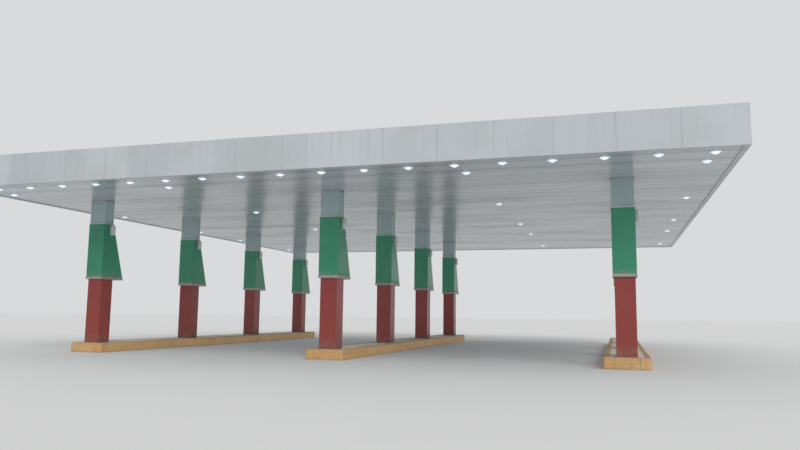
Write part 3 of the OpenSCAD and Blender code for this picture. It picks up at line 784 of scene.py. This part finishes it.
def strip_coat():
    """Metallic silver polyester on roll-formed steel: gloss, with soot gathered along the joints."""
    material, tree, shader, place = new_finish("silver_coil_coat", Metallic=0.25)
    axes = add(tree, "SeparateXYZ", {"Vector": place}).outputs
    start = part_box("soffit_front")[0].y
    from_edge = add(tree, "Math", {0: axes["Y"], 1: start}, operation="SUBTRACT")
    tone, across = rows_of(tree, from_edge, STRIP_PITCH)
    along = add(tree, "Math", {0: axes["X"], 1: 1 / STRIP_LENGTH, 2: tone}, operation="MULTIPLY_ADD")
    length = add(tree, "Math", {0: along}, operation="FRACT")
    butt = add(tree, "Math", {0: length, 1: STRIP_BUTT / STRIP_LENGTH}, operation="LESS_THAN")
    off = add(tree, "Math", {0: across, 1: 0.5}, operation="SUBTRACT")
    off_middle = add(tree, "Math", {0: off}, operation="ABSOLUTE")
    lip = add(tree, "MapRange", {"Value": off_middle, "From Min": 0.40, "From Max": 0.48},
              interpolation_type="SMOOTHSTEP")
    soot = patches(tree, place, 1800, 0.4, 0.75, 3.0, (0.4, 1, 1))
    colour = layered(tree, "#adb3b9",
                     ("#c4cad0", tone),
                     ("#92938f", soot, 0.2),
                     ("#6c6b67", lip, patches(tree, place, 1500, 0.3, 0.7, 1.0), 0.4),
                     ("#4a4b4c", butt, 0.75))
    rough = add(tree, "MapRange", {"Value": soot, "To Min": 0.2, "To Max": 0.3})
    hollow = add(tree, "Math", {0: off, 1: off}, operation="MULTIPLY")
    where = add(tree, "Mapping", {"Vector": place, "Scale": (0.3, 1, 1)})
    wave = add(tree, "TexNoise", {"Vector": where, "Scale": 1000 / 900, "Detail": 0.0})
    surface = add(tree, "Math", {0: hollow, 1: 3.5, 2: wave}, operation="MULTIPLY_ADD")
    bump = add(tree, "Bump", {"Height": surface, "Distance": 0.0018})
    feed(tree, shader, {"Base Color": colour, "Roughness": rough, "Normal": bump})
    return material


coil_coat = strip_coat()
for node in ("soffit_front", "soffit_middle", "soffit_rear"):
    dress(node, coil_coat)

# Lamps: round recessed lamps, one row of 18 along the front edge and four rows running back. Each has a
# spun aluminium rim, powder coated white, and a pressed prismatic bowl that glows cool white.
RIM_BEAD = 0.004
RIM_BEAD_STEPS = 6
RIM_COLLAR = 0.008
RIM_FACE = ((0.016, 0.62), (0.007, 1), (0, 0.8))
RIM_SCREWS = 3
RIM_SCREW_IN = 0.016
RIM_SCREW_R = 0.005
RIM_SCREW_DROP = 0.6
BOWL_PLAY = 0.0005
BOWL_POLE = 0.0005
BOWL_RINGS = 14
BOWL_PRISM = 0.0022
GROOVE_TONE = 0.1
RIM_FADE = 0.35
LAMP_SIDES = 48
UPRIGHT = (Vector((0, 0, 1)), Vector((1, 0, 0)))
GLOW = 0.9


def white_powder_coat():
    """Powder coat on spun aluminium: off-white and satin, yellowed a little by heat."""
    material, tree, shader, place = new_finish("white_powder_coat", Roughness=0.38)
    colour = layered(tree, "#d5d8da", ("#c4c5c1", patches(tree, place, 60, 0.4, 0.65)))
    skin = add(tree, "TexNoise", {"Vector": place, "Scale": 1000 / 3})
    bump = add(tree, "Bump", {"Height": skin, "Distance": 0.00012})
    feed(tree, shader, {"Base Color": colour, "Normal": bump})
    return material


def prismatic_bowl():
    """Pressed acrylic over a cool white lamp: it glows, brightest in the middle, dimmer in its grooves."""
    material, tree, shader, _ = new_finish("prismatic_acrylic_lit", Roughness=0.12,
                                           Emission_Strength=GLOW)
    crest = add(tree, "Attribute", {}, attribute_name="tone").outputs["Fac"]
    feed(tree, shader, {"Base Color": layered(tree, "#b4bfca", ("#f2f5f7", crest)),
                        "Emission Color": layered(tree, "#6f8db0", ("#f0f6ff", crest))})
    return material


def rim_profile(inner, outer, drop, rise):
    """A rim with a rolled outer bead, a dished face, and a collar up into the soffit."""
    turn = [math.radians(90 - 180 * i / RIM_BEAD_STEPS) for i in range(RIM_BEAD_STEPS + 1)]
    bead = [(outer - RIM_BEAD + RIM_BEAD * math.cos(a), RIM_BEAD * math.sin(a) - RIM_BEAD) for a in turn]
    face = [(inner + out, -drop * share) for out, share in RIM_FACE]
    return [(inner + RIM_COLLAR, rise), (inner + RIM_COLLAR, 0), *bead, *face, (inner, rise)]


def bowl_profile(radius, drop, rise):
    """A shallow bowl whose lower face is pressed in rings of small prisms, as (radius, height, tone)."""
    ball = (radius ** 2 + drop ** 2) / (2 * drop)
    half = math.asin(radius / ball)
    points = [(BOWL_POLE, -drop, 1)]
    for i in range(1, 2 * BOWL_RINGS):
        way = i / (2 * BOWL_RINGS)
        groove = i % 2
        z = ball - drop - ball * math.cos(half * way) + groove * BOWL_PRISM
        points.append((ball * math.sin(half * way), z, (GROOVE_TONE if groove else 1) * (1 - RIM_FADE * way)))
    return points + [(radius, 0, 0.3), (radius, rise, 0.2), (BOWL_POLE, rise, 0.2)]


powder_coat, bowl_acrylic = white_powder_coat(), prismatic_bowl()
for row in ("front", "bay"):
    rims, screws = bmesh.new(), bmesh.new()
    bowls, _, bowl_tone = drawn()
    for (low, high), (bowl_low, bowl_high) in zip(solids(row + "_lamp_rims"), solids(row + "_lamp_domes")):
        centre = Vector(((low.x + high.x) / 2, (low.y + high.y) / 2, soffit_low))
        outer, bowl_r = (high.x - low.x) / 2, (bowl_high.x - bowl_low.x) / 2
        drop = soffit_low - low.z
        rim = rim_profile(bowl_r + BOWL_PLAY, outer, drop, high.z - soffit_low)
        rings = lathe(rims, centre, *UPRIGHT, LAMP_SIDES, rim)
        bridge(rims, rings + [rings[0]], capped=False)
        for i in range(RIM_SCREWS):
            a = math.radians(90 + 360 * i / RIM_SCREWS)
            spot = centre + Vector((math.cos(a), math.sin(a), 0)) * (outer - RIM_SCREW_IN)
            spot.z -= RIM_SCREW_DROP * drop
            dome_head(screws, spot, Vector((0, 0, -1)), RIM_SCREW_R, RIVET_H)
        bowl = bowl_profile(bowl_r, soffit_low - bowl_low.z, bowl_high.z - soffit_low)
        rings = lathe(bowls, centre, *UPRIGHT, LAMP_SIDES, [(r, z) for r, z, _ in bowl])
        for ring, (_, _, crest) in zip(rings, bowl):
            for vert in ring:
                vert[bowl_tone] = crest
        bridge(bowls, rings)
    piece(row + "_lamp_rolled_rims", rims, powder_coat, "lamp_rim", row + "_lamp_rims", smooth=True)
    piece(row + "_lamp_rim_screws", screws, aluminium, "lamp_rim", smooth=True)
    piece(row + "_lamp_bowls", bowls, bowl_acrylic, "lamp_dome", row + "_lamp_domes", smooth=True)

# Fascias: silver-grey composite cassettes, a metre high, hung side by side on the edge channels, with
# an open joint every 1.5 m and returns folded back at top and bottom.
FASCIA_PANEL = 1.5


def cassette_coat():
    """Satin silver coil coating: each cassette has its own tone, with faint rain streaks from the top."""
    material, tree, shader, place = new_finish("silver_coated_cassette", Metallic=0.15)
    axes = add(tree, "SeparateXYZ", {"Vector": place}).outputs
    run = add(tree, "Math", {0: axes["X"], 1: axes["Y"]}, operation="ADD")
    tone, _ = rows_of(tree, run, FASCIA_PANEL)
    low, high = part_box("fascia_front")
    rain = patches(tree, place, 110, 0.5, 0.85, 5.0, (1, 1, 0.04))
    under_top = add(tree, "MapRange", {"Value": axes["Z"], "From Min": low.z, "From Max": high.z,
                                       "To Min": 0.25, "To Max": 1.0})
    colour = layered(tree, "#b0b4b7",
                     ("#babec0", tone),
                     ("#a5a8a8", patches(tree, place, 1500, 0.35, 0.7, 3.0), 0.4),
                     ("#85857f", rain, under_top, 0.3))
    rough = add(tree, "MapRange", {"Value": rain, "To Min": 0.4, "To Max": 0.55})
    wave = add(tree, "TexNoise", {"Vector": place, "Scale": 1000 / 800, "Detail": 1.0})
    bump = add(tree, "Bump", {"Height": wave, "Strength": 0.5, "Distance": 0.008})
    feed(tree, shader, {"Base Color": colour, "Roughness": rough, "Normal": bump})
    return material


cassette = cassette_coat()
for side in ("front", "rear", "left", "right"):
    dress("fascia_" + side, cassette)

# Roof: ribbed galvanised sheets that fall both ways from the ridge, screwed through the ribs to each
# purlin with washered screws, and a flat folded cap screwed over the ridge.
RIB_PITCH = 0.400
SHEET_COVER = 3 * RIB_PITCH
WASHER_R = 0.012
WASHER_H = 0.002
WASHER_DISH = 0.7
WASHER_SIDES = 12
SCREW_HEAD_R = 0.0065
SCREW_HEAD_H = 0.006
SCREW_SINK = 0.001
CAP_SCREW_IN = 0.040
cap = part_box("ridge_cap")[1]
sheet_zinc = galvanised("weathered_zinc_sheet", "#abb0b2", "#999ea0", 0.5, SHEET_COVER)
cap_zinc = galvanised("ridge_cap_zinc", "#b4b8ba", "#a4a8aa", 0.3)
for node in ("roof_sheets_left", "roof_sheets_right"):
    dress(node, sheet_zinc)
dress("ridge_cap", cap_zinc)


def roof_screw(shape, at, out):
    """A hexagon head on a dished washer."""
    across = out.orthogonal().normalized()
    washer = ((WASHER_R, 0), (WASHER_R * WASHER_DISH, WASHER_H))
    head = ((SCREW_HEAD_R, SCREW_SINK), (SCREW_HEAD_R, SCREW_HEAD_H))
    for sides, profile in ((WASHER_SIDES, washer), (6, head)):
        bridge(shape, lathe(shape, at, out, across, sides, profile))


def under_plumb(node, x, y):
    """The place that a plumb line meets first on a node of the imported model, and the way its face looks."""
    _, at, out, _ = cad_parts[node].ray_cast(Vector((x, y, cap.z + 1)), Vector((0, 0, -1)))
    return at, out


def rib_lines(sheets):
    """The Y of each rib's middle line: the ribs are a pitch apart and centred on the sheets."""
    low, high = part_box(sheets)
    ribs = math.floor((high.y - low.y) / RIB_PITCH)
    return [(low.y + high.y) / 2 + (i + 0.5 - ribs / 2) * RIB_PITCH for i in range(ribs)]


roof_screws = bmesh.new()
purlin_lines = [(low.x + high.x) / 2 for low, high in solids("purlins")]
for sheets, sign in (("roof_sheets_left", -1), ("roof_sheets_right", 1)):
    for x in purlin_lines:
        if x * sign > cap.x:
            for y in rib_lines(sheets):
                roof_screw(roof_screws, *under_plumb(sheets, x, y))
    for y in rib_lines(sheets):
        roof_screw(roof_screws, *under_plumb("ridge_cap", sign * (cap.x - CAP_SCREW_IN), y))
piece("roof_screws", roof_screws, zinc, "galvanised")

# Ridge fillers: pressed zinc-coated pieces in the valleys between the ribs, screwed down under both edges
# of the ridge cap, to keep wind and birds out.
PAN_HALF = 0.145
RIB_FLANK = 0.025
FILLER_IN = 0.015
FILLER_DEPTH = 0.030
FILLER_PLAY = 0.001
fillers = bmesh.new()
for sheets, sign in (("roof_sheets_left", -1), ("roof_sheets_right", 1)):
    for rib_y in rib_lines(sheets)[1:]:
        y = rib_y - RIB_PITCH / 2
        rings = []
        for back in (FILLER_IN, FILLER_IN + FILLER_DEPTH):
            x = sign * (cap.x - back)
            foot = under_plumb(sheets, x, y)[0].z + FILLER_PLAY
            head = under_plumb(sheets, x, rib_y)[0].z - FILLER_PLAY
            half = PAN_HALF - FILLER_PLAY
            rings.append([fillers.verts.new((x, y + dy, z)) for dy, z in
                          ((-half, foot), (half, foot), (half + RIB_FLANK, head), (-half - RIB_FLANK, head))])
        bridge(fillers, rings)
piece("ridge_fillers", fillers, zinc, "galvanised")

# Gutter straps: flat zinc-coated bars across the top of each gutter, with their ends turned down and
# riveted to its walls, so that it can't spread when it is full.
STRAP_PITCH = 1.2
STRAP_W = 0.030
STRAP_T = 0.003
STRAP_LEG = 0.025
STRAP_RIVET_DROP = 0.015
GUTTER_WALL = 0.003
straps = bmesh.new()
for low, high in solids("side_gutters"):
    x0, x1, top = low.x + GUTTER_WALL, high.x - GUTTER_WALL, high.z
    foot, under = top - STRAP_LEG, top - STRAP_T
    section = ((x0, foot), (x0, top), (x1, top), (x1, foot),
               (x1 - STRAP_T, foot), (x1 - STRAP_T, under), (x0 + STRAP_T, under), (x0 + STRAP_T, foot))
    n = round((high.y - low.y) / STRAP_PITCH)
    for i in range(n):
        y = low.y + (i + 0.5) * (high.y - low.y) / n
        bridge(straps, [[straps.verts.new((x, y + dy, z)) for x, z in section]
                        for dy in (-STRAP_W / 2, STRAP_W / 2)])
        for x, out in ((x0 + STRAP_T, 1), (x1 - STRAP_T, -1)):
            dome_head(straps, Vector((x, y, top - STRAP_RIVET_DROP)), Vector((out, 0, 0)), RIVET_R, RIVET_H)
piece("gutter_straps", straps, zinc, "galvanised")

# Studio: a pale floor, a pale light tent that also lights undersides, and a large soft sun. The camera
# is at a standing person's eye height in front, right of the middle, and looks a little up and left.
FLOOR_RADIUS = 260
FLOOR_SIDES = 96
SUN_STRENGTH = 1.4
SUN_SPREAD = math.radians(35)
SUN_TILT = math.radians(60)
SUN_TURN = math.radians(33)
CAMERA_AT = (8.94, -30.36, 1.484)
CAMERA_YAW = math.radians(17.2)
CAMERA_PITCH = math.radians(7.18)
CAMERA_ROLL = math.radians(0.651)
CAMERA_LENS = 31.63
CAMERA_SENSOR = 36
CAMERA_REACH = 1000


def pale_floor():
    """Smooth matt floor, faintly mottled."""
    material, tree, shader, place = new_finish("pale_floor", Roughness=0.85)
    mottle = patches(tree, place, 5000, 0.3, 0.7)
    feed(tree, shader, {"Base Color": layered(tree, "#d4d3d0", ("#d6d5d2", mottle))})
    return material


disc = bmesh.new()
bmesh.ops.create_circle(disc, cap_ends=True, radius=FLOOR_RADIUS, segments=FLOOR_SIDES)
mesh = bpy.data.meshes.new("floor")
disc.to_mesh(mesh)
disc.free()
mesh.materials.append(pale_floor())
floor = placed("floor", mesh)
floor.visible_diffuse = False

world = bpy.data.worlds.new("pale_surround")
world.use_nodes = True
bpy.context.scene.world = world
tree = world.node_tree
ray = add(tree, "LightPath", {}).outputs
seen = add(tree, "Math", {0: ray["Is Camera Ray"], 1: ray["Is Glossy Ray"]}, operation="MAXIMUM")
seen = add(tree, "Math", {0: seen, 1: ray["Is Transmission Ray"]}, operation="MAXIMUM")
around = add(tree, "TexCoord", {}).outputs["Generated"]
way = add(tree, "SeparateXYZ", {"Vector": around}).outputs["Z"]
level = add(tree, "MapRange", {"Value": way, "From Min": -0.1, "From Max": 0.1,
                               "To Min": 0.98, "To Max": 0.92})
tent = add(tree, "Background", {"Color": linear("#e8ebee"), "Strength": level})
surround = add(tree, "Background", {"Color": linear("#d9dadb"), "Strength": 1.0})
both = add(tree, "MixShader", {0: seen, 1: tent, 2: surround})
feed(tree, tree.nodes["World Output"], {"Surface": both})

sun = bpy.data.lights.new("soft_sun", "SUN")
sun.energy = SUN_STRENGTH
sun.angle = SUN_SPREAD
placed("soft_sun", sun).rotation_euler = (SUN_TILT, 0, SUN_TURN)

camera = bpy.data.cameras.new("camera")
camera.sensor_width = CAMERA_SENSOR
camera.lens = CAMERA_LENS
camera.clip_end = CAMERA_REACH
camera_at = placed("camera", camera)
camera_at.matrix_world = (Matrix.Translation(CAMERA_AT)
                          @ Matrix.Rotation(CAMERA_YAW, 4, "Z")
                          @ Matrix.Rotation(math.pi / 2 + CAMERA_PITCH, 4, "X")
                          @ Matrix.Rotation(CAMERA_ROLL, 4, "Z"))
bpy.context.scene.camera = camera_at
bpy.context.scene.view_settings.view_transform = "Standard"
